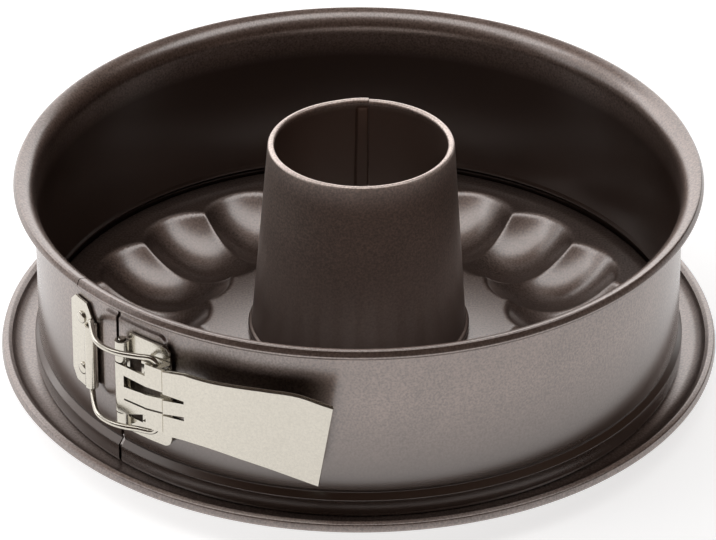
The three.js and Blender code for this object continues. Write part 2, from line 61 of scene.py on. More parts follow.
# Clearances
seat_gap = 0.3
channel_gap = 0.4
slit_gap = 1.2
rim_gap = 0.3

# Base
base_sheet = 0.6
bowl_count = 20
bowl_depth = 11.4
bowl_half_width = 18.4
ridge_soften = 0.35
edge_soften = 0.3
bowl_reach = 2.0
bowl_rows = 68
bowl_columns = 20
inner_land = 14.2
outer_land = 8.8
step_round = 2.0
channel_round = 0.6
channel_width = 4.4
channel_flat = 2.9
channel_climb = (6.0, 84.0)
lip_slope = 3.6
lip_roll = 1.7
lip_drop = 2.0
lip_edge = 1.2
lip_round = 0.6

# Lip of the base beyond the slope: places outward and upward of its middle
lip_outline = [(-0.5, 1.6), (1.05, 1.05), (1.6, -0.9), (0.9, -1.75), (-0.3, -1.55)]

# Wall
inside_radius = 100.0
wall_sheet = 0.6
wall_depth = 55.0
rim_flare = 6.7
rim_hem = 1.2
rim_lean = 105.0
rim_fold = 115.0
bead_step = 1.2
bead_height = 5.9
crease_lift = 2.9
crease_height = 1.4
crease_dip = 0.5
crease_rise = 1.2
plain_lift = 4.0
foot_round = 0.5
hem_round = 0.4
flare_turn = 158.0
slit_angle = 45.1
tongue_angle = 6.0
rim_break_angle = 52.0
rim_cut = 168.0
bend_angle = 225.0
bend_margin = 8.0

# Wall's foot: places inward of the bead and up from the foot
bead_outline = [(0.25, 0), (0, 0.9), (0, 5.4)]

# Rim's hem beyond the flare: places outward and upward of its middle
hem_outline = [(0.35, 1.3), (1.2, -0.4), (0.75, -1.2), (-0.7, -1.0)]

# Pressed boss behind the latch, with its heights counted from the middle of the bail
boss_low = -11.6
boss_high = 18.6
boss_rise = 0.9
boss_inset_left = 2.2
boss_inset_right = 1.4
boss_corner = 2.6
boss_slope = 0.8
boss_margin = 1.0
boss_side = 0.8

# Tube
tube_sheet = 0.6
tube_round = 0.6
tube_foot_radius = 33.4
tube_top_radius = 28.7
tube_height = 65.75
tube_roll = 0.75
tube_bead = 1.1
tube_bead_top = 1.4
tube_bead_root = 1.9
tube_neck = 1.2
tube_crimp = 1.9
tube_lean = 0.8
tube_dip = 0.9
roll_turns = (15.0, 235.0)
lap_angle = 185.0
lap_gap = 0.2
lap_run = 24.0
lap_ramp = 20.0
lap_depth = 6.0
lap_fade = 5.0
seam_angle = 180.5
seam_width = 4.2
seam_rise = 0.8
seam_top = 2.3
seam_step = 0.35
seam_low = 4.0
seam_sink = 0.1
taper_low = 2.5

# Seam's section: share of its half width and share of its rise, and the rise along its length
seam_outline = [(1.0, 0.15), (0.94, 0.6), (0.86, 0.9), (0.2, 1), (-0.5, 1), (-0.62, 0.9), (-1.0, -0.1)]
seam_length = [(0, 0.4), (0.02, 1), (0.25, 1), (0.5, 1), (0.75, 1), (0.98, 1), (1.0, 0.55)]

# Latch, with its heights counted from the middle of the bail
latch_offset = -0.45
latch_sheet = 0.8
wire_radius = 0.9
pin_radius = 1.1
rivet_radius = 1.0
rivet_head = 2.0
rivet_rise = 1.0
rivet_edge = 0.25
rivet_seat = 0.02
rivet_inner = 0.5
tip_hole = 0.02
keeper_left_angle = 59.0
curl_angle = 51.8
keeper_low = -14.2
keeper_high = 16.2
keeper_chamfer = 2.6
keeper_cut_low = (1.35, 1.2)
keeper_cut_high = (1.0, 1.7)
keeper_turns = (278.0, 575.0)
keeper_rivet_low = -8.1
keeper_rivet_high = 10.1
curl_end = 0.5
pin_angle = 43.0
bracket_right_angle = 33.2
bracket_low = -19.0
bracket_high = 16.0
bracket_corner = 3.0
bracket_rivet_inset = 1.5
bracket_rivet_low = -6.0
bracket_rivet_high = 4.0
bracket_window_low = -3.6
bracket_window_high = 1.2
bracket_notch_low = -14.0
bracket_notch_high = 9.5
bracket_notch_angle = 39.4
bracket_turns = (-40.0, 262.0)
plate_stations = 12
barrel_low = -16.5
barrel_high = 13.4
knuckle_low = -11.2
knuckle_high = 6.1
pin_end = 0.6
pin_dome = 0.05
pin_edge = 0.3
hook_angle = 35.0
hook_clear = 2.0
bail_half = 12.9
bail_hook = 4.2
bail_bend = 1.4
bow_clear = 3.1
bail_run = 5.0
lever_sheet = 0.9
ear_left_angle = 36.6
ear_right_angle = 32.8
ear_low_gap = 2.0
ear_high_gap = 1.5
ear_web = 0.05
ear_turn = 0.9
joggle_rise = 0.7
joggle_depth = 0.1
joggle_turn = 0.25
neck_turn = 1.5
fold_turn = 0.2
hem_radius = 0.28
hem_lift = 0.08
hem_turn = 0.6
edge_low = 4.0
edge_high = 4.3
lever_tilt = 1.6
ear_slot_to_pin = 2.8
ear_slot_from_pin = 0.3
ear_slot_inward = 0.95
slot_end_angle = 28.7
tip_low_angle = 6.3
tip_high_angle = 3.9
lever_turns = (320.0, 90.0)
lever_stations = 25
cut_ease = 0.2
ear_ease = 0.15
ease_angle = 50.0
sharp_angle = 35.0

# Bow of the bail: turn past the pin and inset from the bow's radius
bail_bow = [(3.2, 1.0), (0.6, 0.0), (-2.1, 0.6), (-5.0, 2.7)]

# Heights of the lever's slot edges at neck, ears and joggle, and its rows as shares of the plate
neck_slots = (-5.8, -5.2, -1.1, 2.9)
ear_slots = (-4.7, -4.1, 0.5, 3.4)
joggle_slots = (-4.0, -3.4, 1.4, 3.6)
plate_shares = np.array([0, 0.16, 0.3, 0.36, 0.56, 0.6, 0.78, 1])

# Lever plate from the slots' end to the tip: share of its length, reach past the ears, low and high edge
lever_plate = [
    (0, 0.8, -10.3, 12.6),
    (0.19, 1.0, -10.6, 12.6),
    (0.41, 0.5, -12.4, 12.7),
    (0.63, 0.1, -14.6, 12.8),
    (0.85, 0.5, -17.0, 12.4),
    (1, 2.0, -18.1, 10.4),
]

# Derived places
floor_z = bowl_depth + base_sheet
wall_mid = inside_radius + wall_sheet / 2
wall_out = inside_radius + wall_sheet
rim_z = floor_z + wall_depth
crease_z = floor_z + crease_lift
foot_z = crease_z - crease_height - bead_height
step_radius = wall_mid + bead_step - wall_sheet / 2 - channel_gap
channel_z = foot_z - channel_gap
first_bowl = tube_foot_radius + inner_land
last_bowl = inside_radius - outer_land
bowl_circle_radius = (first_bowl + last_bowl) / 2
bowl_half_length = (last_bowl - first_bowl) / 2
latch_z = (crease_z + rim_z) / 2 + latch_offset
boss_left_angle = curl_angle - boss_inset_left
boss_right_angle = bracket_right_angle + boss_inset_right
keeper_rivet_angle = (keeper_left_angle + curl_angle) / 2
bracket_rivet_angle = slit_angle - tongue_angle - bracket_rivet_inset
keeper_mid = wall_out + seat_gap + latch_sheet / 2
curl_mid = wire_radius + seat_gap + latch_sheet / 2
curl_radius = keeper_mid + curl_mid
curl_half = bail_half - bail_bend - curl_end
bracket_mid = wall_out + boss_rise + seat_gap + latch_sheet / 2
knuckle_mid = pin_radius + seat_gap + latch_sheet / 2
pin_axis_radius = bracket_mid + knuckle_mid
lever_knuckle = pin_radius + seat_gap + lever_sheet / 2
hook_room = wire_radius + seat_gap
hook_radius = bracket_mid + latch_sheet / 2 + hook_clear + wire_radius
bow_radius = pin_axis_radius + knuckle_mid + latch_sheet / 2 + bow_clear + wire_radius
ear_low = ear_low_gap - bail_half
ear_high = bail_half - ear_high_gap
ear_radius = hook_radius + hook_room + ear_web + lever_sheet / 2

# Coating: size and share of its fleck, roughness, bump's strength and depth, clear coat and colours
fleck_scale = 1500
cloud_scale = 60
fleck_share = 0.8
fleck_dark, fleck_light = 0.34, 0.66
satin = (0.43, 0.53)
fleck_bump = (0.08, 0.015)
edge_tint = (0.7, 0.66, 0.64)
coat_index = 2.2
coat_roughness = 0.24
tube_coat_roughness = 0.36
# Clear coat's weight on inward faces, lowered there as part of their painted shade
inner_coat_painted_shade = 0.4
brown = ((0.13, 0.093, 0.078), (0.29, 0.212, 0.18))
# The tube's brown is much lighter than the rest of the coating: painted light for the brighter sheen on the
# tube
tube_brown_painted_light = ((0.5, 0.405, 0.36), (0.88, 0.73, 0.655))

# Painted shade on the coating, darker places that stand in for darker reflections: colour, and the heights
# between which it fades out
painted_wall_inside_shade = ((0.065, 0.04, 0.03), rim_z - 2 * rim_flare, rim_z - rim_flare)
painted_wall_foot_shade = ((0.085, 0.052, 0.038), foot_z + 10, foot_z + 38)
painted_tube_foot_shade = ((0.16, 0.112, 0.095), floor_z + 6, floor_z + 46)
painted_tube_inside_shade = ((0.4, 0.3, 0.255), floor_z + tube_height - 4, floor_z + tube_height - 1.5)

# Tin: scales of its mottle and grain, colours, roughness, bump's strength and depth
mottle_scale = 1400
grain_scale = 700
grain_stretch = 9
tin_dark, tin_light = (0.58, 0.547, 0.48), (0.64, 0.605, 0.533)
bright = (0.17, 0.24)
grain_bump = (0.12, 0.02)

# Camera at the photograph's viewing angle: places in metres, lens and sensor in millimetres
camera_target = Vector((-0.0002, 0, 0.0322))
camera_elevation = math.radians(31.185)
camera_distance = 1.7008
camera_lens = 272.8
sensor_width = 36

# Floor, in metres: its shade, the ring where it turns white, inside which its glow fades out as a painted
# shadow under the pan, and how white it is from left to right, a painted falloff of light
floor_half = 4.0
floor_grey = 0.6
white_from, white_to = 0.06, 0.1
left_end, right_end = -0.1, 0.25
left_white, right_white = 0.8, 0.6

# Soft boxes: name, azimuth and elevation, distance, width and height in metres, brightness
soft_boxes = [
    ("back_box", 165, 26, 1.7, 3.8, 1.3, 1.8),
    ("top_box", 0, 86, 1.5, 2.8, 0.7, 1.75),
    ("left_box", 95, 32, 1.6, 1.4, 1.4, 0.75),
]
room_colour = (1, 0.6, 0.42)
room_strength = 0.05


# Directions and places round the pan
def outward(angle):
    turn = np.radians(angle)
    return np.stack([-np.sin(turn), -np.cos(turn), np.zeros_like(turn)], -1)


def rightward(angle):
    turn = np.radians(angle)
    return np.stack([np.cos(turn), -np.sin(turn), np.zeros_like(turn)], -1)


def place(angle, radius, z):
    angle, radius, z = np.broadcast_arrays(np.asarray(angle, float), radius, z)
    points = outward(angle) * radius[..., None]
    points[..., 2] = z
    return points


# Places round an upright axis: turn 0 is rightward along the wall and 90 is outward
def around(angle, radius, reach, turn):
    turn = np.radians(turn)
    centre = place(angle, radius, 0.0)
    return centre + reach * (math.cos(turn) * rightward(angle) + math.sin(turn) * outward(angle))


def smooth(t):
    t = np.clip(t, 0, 1)
    return t * t * (3 - 2 * t)


# A path in the plane with its inner corners rounded to one radius
def rounded(points, radius, steps=5):
    points = [np.array(p, float) for p in points]
    path = [points[0]]
    for before, corner, after in zip(points, points[1:], points[2:]):
        a = before - corner
        b = after - corner
        la, lb = np.linalg.norm(a), np.linalg.norm(b)
        a, b = a / la, b / lb
        half = math.acos(np.clip(a @ b, -1, 1)) / 2
        if half > math.radians(88):
            path.append(corner)
            continue
        reach = min(radius / math.tan(half), 0.45 * la, 0.45 * lb)
        bend = reach * math.tan(half)
        centre = corner + (a + b) / np.linalg.norm(a + b) * bend / math.sin(half)
        start, end = corner + a * reach - centre, corner + b * reach - centre
        sweep = math.pi - 2 * half
        turn = math.copysign(1, start[0] * end[1] - start[1] * end[0])
        for t in np.linspace(0, turn * sweep, steps + 1):
            c, s = math.cos(t), math.sin(t)
            path.append(centre + np.array([c * start[0] - s * start[1], s * start[0] + c * start[1]]))
    path.append(points[-1])
    return np.array(path)


# A path in the plane moved sideways, with mitred corners
def beside(path, distance):
    path = np.asarray(path, float)
    legs = np.diff(path, axis=0)
    legs = legs / np.linalg.norm(legs, axis=1)[:, None]
    first = np.vstack([legs[:1], legs])
    second = np.vstack([legs, legs[-1:]])
    miter = np.stack([-(first[:, 1] + second[:, 1]), first[:, 0] + second[:, 0]], 1)
    return path + miter * (distance / (1 + (first * second).sum(1)))[:, None]


# Splits each leg of a path so that no leg is longer than a step
def refined(path, step):
    path = np.asarray(path, float)
    points = [path[:1]]
    for a, b in zip(path, path[1:]):
        count = max(1, math.ceil(np.linalg.norm(b - a) / step))
        points.append(a + (b - a) * np.linspace(0, 1, count + 1)[1:, None])
    return np.vstack(points)


def arc(centre, radius, turns):
    turns = np.radians(turns)
    return np.stack([centre[0] + radius * np.cos(turns), centre[1] + radius * np.sin(turns)], 1)


def between(p, q, start, end, t):
    return (end - t) / (end - start) * p + (t - start) / (end - start) * q


# A smooth curve through points, as evenly counted samples
def spline(points, samples):
    points = np.asarray(points, float)
    padded = np.vstack([2 * points[0] - points[1], points, 2 * points[-1] - points[-2]])
    pieces = []
    for p0, p1, p2, p3 in zip(padded, padded[1:], padded[2:], padded[3:]):
        t0 = 0.0
        t1 = t0 + np.linalg.norm(p1 - p0) ** 0.5
        t2 = t1 + np.linalg.norm(p2 - p1) ** 0.5
        t3 = t2 + np.linalg.norm(p3 - p2) ** 0.5
        t = np.linspace(t1, t2, samples, endpoint=False)[:, None]
        a1 = between(p0, p1, t0, t1, t)
        a2 = between(p1, p2, t1, t2, t)
        a3 = between(p2, p3, t2, t3, t)
        b1 = between(a1, a2, t0, t2, t)
        b2 = between(a2, a3, t1, t3, t)
        pieces.append(between(b1, b2, t1, t2, t))
    pieces.append(points[-1:])
    return np.vstack(pieces)


# Vertices and faces of a closed sheet between two grids of points
def sheet(front, back, wraps=False, present=None):
    stations, rows = front.shape[:2]
    cells = stations if wraps else stations - 1
    there = np.ones((cells, rows - 1), bool) if present is None else present
    shift = stations * rows
    faces = []

    def filled(i, j):
        if wraps:
            i %= cells
        return 0 <= i < cells and 0 <= j < rows - 1 and there[i, j]

    for i in range(cells):
        k = (i + 1) % stations
        for j in range(rows - 1):
            if not there[i, j]:
                continue
            a, b, c, d = i * rows + j, k * rows + j, k * rows + j + 1, i * rows + j + 1
            faces.append((a, b, c, d))
            faces.append((a + shift, d + shift, c + shift, b + shift))
            sides = (((i - 1, j), d, a), ((i + 1, j), b, c), ((i, j - 1), a, b), ((i, j + 1), c, d))
            for near, p, q in sides:
                if not filled(*near):
                    faces.append((q, p, p + shift, q + shift))
    return np.vstack([front.reshape(-1, 3), back.reshape(-1, 3)]), faces


# A closed outline of radius and height, turned round the pan's axis or round an axis of its own
def turned(outline, segments, placed=place):
    outline = np.asarray(outline, float)
    angles = np.linspace(0, 360, segments, endpoint=False)
    points = placed(angles[:, None], outline[None, :, 0], outline[None, :, 1])
    count = len(outline)
    faces = []
    for i in range(segments):
        k = (i + 1) % segments
        for j in range(count):
            m = (j + 1) % count
            faces.append((i * count + j, k * count + j, k * count + m, i * count + m))
    return points.reshape(-1, 3), faces


# A round wire along a path
def wire(path, radius, sides):
    path = np.asarray(path, float)
    tangents = np.gradient(path, axis=0)
    tangents /= np.linalg.norm(tangents, axis=1)[:, None]
    normal = np.cross(tangents[0], (0.3, 0.2, 0.93))
    turns = np.linspace(0, 2 * math.pi, sides, endpoint=False)
    rings = []
    for point, tangent in zip(path, tangents):
        normal = normal - (normal @ tangent) * tangent
        normal /= np.linalg.norm(normal)
        side = np.cross(tangent, normal)
        rings.append(point + radius * (np.cos(turns)[:, None] * normal + np.sin(turns)[:, None] * side))

    def cap(k, inward):
        rounding = [(0.82, 0.0), (0.45, 0.35)]
        return [path[k] + (rings[k] - path[k]) * share - inward * radius * push for share, push in rounding]

    rings = cap(0, tangents[0])[::-1] + rings[1:-1] + cap(-1, -tangents[-1])
    faces = []
    for i in range(len(rings) - 1):
        for j in range(sides):
            m = (j + 1) % sides
            faces.append((i * sides + j, i * sides + m, (i + 1) * sides + m, (i + 1) * sides + j))
    faces.append(tuple(range(sides))[::-1])
    faces.append(tuple((len(rings) - 1) * sides + j for j in range(sides)))
    return np.vstack(rings), faces


def added(name, data):
    obj = bpy.data.objects.new(name, data)
    bpy.context.scene.collection.objects.link(obj)
    return obj


# Turns points in millimetres and faces into a piece
def piece(name, shape, material, body, node=None, run=None):
    points, faces = shape
    mesh = bpy.data.meshes.new(name)
    mesh.from_pydata((np.asarray(points) * MM).tolist(), [], faces)
    if run is not None:
        mesh.attributes.new("run", "FLOAT", "POINT").data.foreach_set("value", run)
    made = bmesh.new()
    made.from_mesh(mesh)
    bmesh.ops.remove_doubles(made, verts=made.verts, dist=1e-6)
    loose = [v for v in made.verts if not v.link_faces]
    bmesh.ops.delete(made, geom=loose, context="VERTS")
    bmesh.ops.recalc_face_normals(made, faces=made.faces)
    made.to_mesh(mesh)
    made.free()
    mesh.shade_smooth()
    mesh.set_sharp_from_angle(angle=math.radians(sharp_angle))
    mesh.materials.append(material)
    obj = added(name, mesh)
    if node:
        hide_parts(node)
    if body:
        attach(obj, body)
    return obj


# Rounds the cut edges of a piece of sheet
def ease_edges(obj, width):
    bevel = obj.modifiers.new("eased_edges", "BEVEL")
    bevel.width = width * MM
    bevel.segments = 2
    bevel.limit_method = "ANGLE"
    bevel.angle_limit = math.radians(ease_angle)
    bevel.harden_normals = True


# Materials
def ramp_of(tree, source, stops):
    ramp = tree.nodes.new("ShaderNodeValToRGB")
    tree.links.new(source, ramp.inputs["Fac"])
    elements = ramp.color_ramp.elements
    for element, (position, colour) in zip(elements, stops):
        element.position = position
        element.color = (*colour, 1)
    return ramp.outputs["Color"]


def spread_of(tree, source, low, high, start=0.0, end=1.0):
    node = tree.nodes.new("ShaderNodeMapRange")
    tree.links.new(source, node.inputs["Value"])
    node.inputs["From Min"].default_value = start
    node.inputs["From Max"].default_value = end
    node.inputs["To Min"].default_value = low
    node.inputs["To Max"].default_value = high
    return node.outputs["Result"]


def math_of(tree, operation, first, second):
    node = tree.nodes.new("ShaderNodeMath")
    node.operation = operation
    tree.links.new(first, node.inputs[0])
    tree.links.new(second, node.inputs[1])
    return node.outputs[0]


def vector_of(tree, operation, first):
    node = tree.nodes.new("ShaderNodeVectorMath")
    node.operation = operation
    tree.links.new(first, node.inputs[0])
    return node


def axis_of(tree, where, axis):
    axes = tree.nodes.new("ShaderNodeSeparateXYZ")
    tree.links.new(where, axes.inputs[0])
    return axes.outputs[axis]


def noise_of(tree, coordinates, scale, detail):
    noise = tree.nodes.new("ShaderNodeTexNoise")
    noise.inputs["Scale"].default_value = scale
    noise.inputs["Detail"].default_value = detail
    tree.links.new(coordinates, noise.inputs["Vector"])
    return noise.outputs["Fac"]


def bump_of(tree, source, strength, depth):
    bump = tree.nodes.new("ShaderNodeBump")
    bump.inputs["Strength"].default_value = strength
    bump.inputs["Distance"].default_value = depth * MM
    tree.links.new(source, bump.inputs["Height"])
    return bump.outputs["Normal"]


def new_material(name):
    material = bpy.data.materials.new(name)
    material.use_nodes = True
    tree = material.node_tree
    shader = tree.nodes["Principled BSDF"]
    coordinates = tree.nodes.new("ShaderNodeTexCoord").outputs["Object"]
    return material, tree, shader, coordinates


# Mask that is whole below one height and fades out up to another
def below(tree, where, low, high):
    return spread_of(tree, axis_of(tree, where, "Z"), 0.0, 1.0, high * MM, low * MM)


# How far a place faces in towards the pan's axis, fading out between two heights
def facing_in(tree, where, low, high):
    flat = vector_of(tree, "MULTIPLY", where)
    flat.inputs[1].default_value = (1, 1, 0)
    unit = vector_of(tree, "NORMALIZE", flat.outputs["Vector"])
    faces = vector_of(tree, "DOT_PRODUCT", unit.outputs["Vector"])
    tree.links.new(tree.nodes.new("ShaderNodeNewGeometry").outputs["Normal"], faces.inputs[1])
    inward = spread_of(tree, faces.outputs["Value"], 1.0, 0.0)
    return math_of(tree, "MULTIPLY", inward, below(tree, where, low, high))


# Lays a second colour over the first where the mask says so
def overlaid(tree, colour, second, mask):
    shade = tree.nodes.new("ShaderNodeMix")
    shade.data_type = "RGBA"
    tree.links.new(mask, shade.inputs["Factor"])
    tree.links.new(colour, shade.inputs["A"])
    shade.inputs["B"].default_value = (*second, 1)
    return shade.outputs["Result"]


# Non-stick coating: a satin brown metallic lacquer with fine fleck, with painted shade laid over its foot and
# its inward faces where given
def coating_material(name, dark, light, roughness, inside=None, foot=None):
    material, tree, shader, where = new_material(name)
    fleck = noise_of(tree, where, fleck_scale, 2)
    cloud = noise_of(tree, where, cloud_scale, 3)
    shares = (spread_of(tree, fleck, 0.0, fleck_share), spread_of(tree, cloud, 0.0, 1 - fleck_share))
    mixed = math_of(tree, "ADD", *shares)
    colour = ramp_of(tree, mixed, [(fleck_dark, dark), (fleck_light, light)])
    # Painted shade: darker towards the foot
    if foot:
        painted_foot_shade_colour, low, high = foot
        colour = overlaid(tree, colour, painted_foot_shade_colour, below(tree, where, low, high))
    # Painted shade on inward faces below the rim, with a weaker clear coat there
    if inside:
        painted_inner_shade_colour, low, high = inside
        inner = facing_in(tree, where, low, high)
        colour = overlaid(tree, colour, painted_inner_shade_colour, inner)
        tree.links.new(spread_of(tree, inner, 1.0, inner_coat_painted_shade), shader.inputs["Coat Weight"])
    else:
        shader.inputs["Coat Weight"].default_value = 1.0
    tree.links.new(colour, shader.inputs["Base Color"])
    tree.links.new(spread_of(tree, fleck, *satin), shader.inputs["Roughness"])
    tree.links.new(bump_of(tree, fleck, *fleck_bump), shader.inputs["Normal"])
    shader.inputs["Metallic"].default_value = 1.0
    shader.inputs["Coat IOR"].default_value = coat_index
    shader.inputs["Coat Roughness"].default_value = roughness
    shader.inputs["Specular Tint"].default_value = (*edge_tint, 1)
    return material


# Tin plate: pale, slightly warm, faintly mottled, with a fine rolled grain
def tin_material():
    material, tree, shader, where = new_material("latch_tin")
    cloud = noise_of(tree, where, mottle_scale, 4)
    stretch = tree.nodes.new("ShaderNodeMapping")
    stretch.inputs["Scale"].default_value = (1, 1, grain_stretch)
    tree.links.new(where, stretch.inputs["Vector"])
    grain = noise_of(tree, stretch.outputs["Vector"], grain_scale, 2)
    colour = ramp_of(tree, cloud, [(fleck_dark, tin_dark), (fleck_light, tin_light)])
    tree.links.new(colour, shader.inputs["Base Color"])
    tree.links.new(spread_of(tree, cloud, *bright), shader.inputs["Roughness"])
    tree.links.new(bump_of(tree, grain, *grain_bump), shader.inputs["Normal"])
    shader.inputs["Metallic"].default_value = 1.0
    return material


# Depth of the pressed bowls, which meet in soft ridges
def bowl_drop(angle, radius):
    pitch = 360 / bowl_count
    home = pitch * (np.floor(angle / pitch) + 0.5)
    depths = []
    for neighbour in (-1, 0, 1):
        offset = np.radians(angle - home - neighbour * pitch)
        along = (radius * np.cos(offset) - bowl_circle_radius) / bowl_half_length
        across = radius * np.sin(offset) / bowl_half_width
        depths.append(bowl_depth * (1 - along ** 2 - across ** 2))
    pressed = ridge_soften * np.logaddexp.reduce(np.array(depths) / ridge_soften, axis=0)
    return edge_soften * np.logaddexp(0, pressed / edge_soften)


# Base: floor with its bowls, step, drip channel and lip
def base_shape():
    hole_radius = tube_foot_radius - tube_neck + tube_sheet / 2 + seat_gap
    channel_in = step_radius + channel_gap
    channel_out = channel_in + channel_width
    roll_radius = channel_out + lip_slope + lip_roll
    lip_z = floor_z - lip_drop
    land = [(hole_radius, floor_z), (first_bowl - 1.5 * bowl_reach, floor_z)]
    radii = np.linspace(first_bowl - bowl_reach, last_bowl + bowl_reach, bowl_rows)
    bowls = [(radius, floor_z) for radius in radii]
    halfway = (step_radius, (floor_z + channel_z) / 2)
    edge = rounded([(last_bowl + 2 * bowl_reach, floor_z), (step_radius, floor_z), halfway], step_round, 6)
    gutter = (channel_in + channel_flat, channel_z)
    step = rounded([halfway, (step_radius, channel_z), gutter], channel_round)[1:]
    climb = np.radians(np.linspace(*channel_climb, 12))
    rise = np.stack([
        gutter[0] + (roll_radius - lip_roll - gutter[0]) * np.sin(climb),
        gutter[1] + (lip_z + lip_edge - gutter[1]) * (1 - np.cos(climb)),
    ], 1)
    lip = [(roll_radius + out, lip_z + up) for out, up in lip_outline]
    roll = rounded([rise[-1], *lip], lip_round, 6)[1:]
    profile = np.vstack([land, bowls, edge, step, rise, roll])
    under = beside(profile, -base_sheet)
    pitch = 360 / bowl_count
    inside = pitch / 2 * (1 - np.cos(np.linspace(0, math.pi, bowl_columns + 1)[:-1]))
    angles = (pitch * np.arange(bowl_count)[:, None] + inside[None, :]).reshape(-1, 1)
    pressed = np.abs(profile[:, 0] - bowl_circle_radius) < bowl_half_length + 1.75 * bowl_reach
    drop = np.where(pressed, bowl_drop(angles, profile[None, :, 0]), 0)
    top = place(angles, profile[None, :, 0], profile[None, :, 1] - drop)
    bottom = place(angles, under[None, :, 0], under[None, :, 1] - drop)
    return sheet(top, bottom, wraps=True)


# The tube's top stands a little to the right of its foot, and a little lower at the back
def leaning(points):
    share = np.clip((points[..., 2] - floor_z) / tube_height, 0, 1)
    moved = points.copy()
    moved[..., 0] += tube_lean * share
    moved[..., 2] -= tube_dip * share * (points[..., 1] / tube_top_radius + 1) / 2
    return moved


# Tube: crimped under the floor, beaded over it, tapered up to a rolled top
def tube_shape():
    neck = tube_foot_radius - tube_neck
    crimp_z = floor_z - base_sheet - seat_gap - tube_sheet / 2
    bead_z = floor_z + seat_gap + tube_sheet / 2
    top_z = floor_z + tube_height
    foot = rounded([
        (neck + tube_crimp, crimp_z),
        (neck, crimp_z),
        (neck, bead_z),
        (tube_foot_radius + tube_bead, bead_z),
        (tube_foot_radius + tube_bead, bead_z + tube_bead_top),
        (tube_foot_radius, bead_z + tube_bead_root),
        (tube_top_radius, top_z),
    ], tube_round)[:-1]
    taper = np.linspace(0.1, 1, 12)[:, None] * (np.array((tube_top_radius, top_z)) - foot[-1]) + foot[-1]
    roll = arc((tube_top_radius - tube_roll, top_z), tube_roll, np.linspace(*roll_turns, 12))
    profile = np.vstack([foot, taper, roll])
    inner, outer = beside(profile, tube_sheet / 2), beside(profile, -tube_sheet / 2)
    angles = np.linspace(lap_angle - lap_gap, lap_angle - 360 + lap_gap, 145)[:, None]
    near_lap = smooth((angles - angles[0] + lap_run) / lap_ramp)
    near_top = smooth((profile[None, :, 1] - top_z + lap_depth) / lap_fade)
    lift = seam_step * near_lap * near_top
    sides = [leaning(place(angles, face[None, :, 0], face[None, :, 1] + lift)) for face in (outer, inner)]
    return sheet(*sides)


# Lock seam: a flat fold up the inside of the tube's taper
def seam_shape():
    low, high = floor_z + seam_low, floor_z + tube_height - seam_top
    half = math.degrees(seam_width / 2 / tube_top_radius)
    across, rise = np.array(seam_outline).T
    along, ease = np.array(seam_length).T
    rise = rise * seam_rise + tube_sheet / 2
    heights = along * (high - low) + low
    share = (heights - floor_z - taper_low) / (tube_height - taper_low)
    taper = tube_foot_radius + (tube_top_radius - tube_foot_radius) * share
    angles = (seam_angle + half * across)[:, None]
    return sheet(
        leaning(place(angles, taper[None, :] - tube_sheet / 2 + seam_sink, heights[None, :])),
        leaning(place(angles, taper[None, :] - rise[:, None] * ease[None, :], heights[None, :])),
    )


# Rise of the pressed boss at a place on the wall
def boss_at(angle, z):
    middle = (boss_left_angle + boss_right_angle) / 2
    half_width = math.radians(boss_left_angle - boss_right_angle) / 2 * wall_mid
    half_height = (boss_high - boss_low) / 2
    x = np.abs(np.radians(angle - middle) * wall_mid) - half_width + boss_corner
    y = np.abs(z - latch_z - (boss_high + boss_low) / 2) - half_height + boss_corner
    beyond = np.hypot(np.maximum(x, 0), np.maximum(y, 0)) + np.minimum(np.maximum(x, y), 0) - boss_corner
    return boss_rise * smooth(0.5 - beyond / boss_slope)


# Wall's section from foot to hem, and its rows at the crease and at the rim's break
def wall_profile():
    bead = wall_mid + bead_step
    lean = math.radians(rim_lean)
    flare_z = rim_z - (rim_flare - rim_hem) * math.sin(lean)
    hem_middle = wall_mid + rim_flare + (rim_flare - rim_hem) * math.cos(lean)
    cut = math.degrees(seat_gap / rim_flare)
    foot = rounded([
        *((bead - inward, foot_z + up) for inward, up in bead_outline),
        (wall_mid - crease_dip, crease_z),
        (wall_mid, crease_z + crease_rise),
        (wall_mid, crease_z + plain_lift),
    ], foot_round)
    fine, coarse = 0.3, 3.0
    plain = [(wall_mid, crease_z + plain_lift + 0.5), (wall_mid, latch_z + boss_low - 2 * boss_margin)]
    low = refined(plain, coarse)
    heights = [boss_low - boss_margin, boss_low + boss_corner]
    heights += [boss_high - boss_corner, boss_high + boss_margin]
    edges = [(wall_mid, latch_z + height) for height in heights]
    legs = [refined(edges[i:i + 2], step)[1:] for i, step in enumerate((fine, coarse, fine))]
    boss = np.vstack([edges[:1], *legs])
    start_turns = [180, (180 + rim_cut) / 2, rim_cut, rim_cut - cut]
    flare_turns = np.concatenate([start_turns, np.linspace(flare_turn, rim_fold, 9)])
    flare = arc((wall_mid + rim_flare, flare_z), rim_flare, flare_turns)
    hem_places = [(hem_middle + out, rim_z + up) for out, up in hem_outline]
    hem = rounded([flare[-1], *hem_places], hem_round, 6)[1:]
    profile = np.vstack([foot, low, boss, flare, hem])
    return profile, len(foot) - 2, len(foot) + len(low) + len(boss) + 2


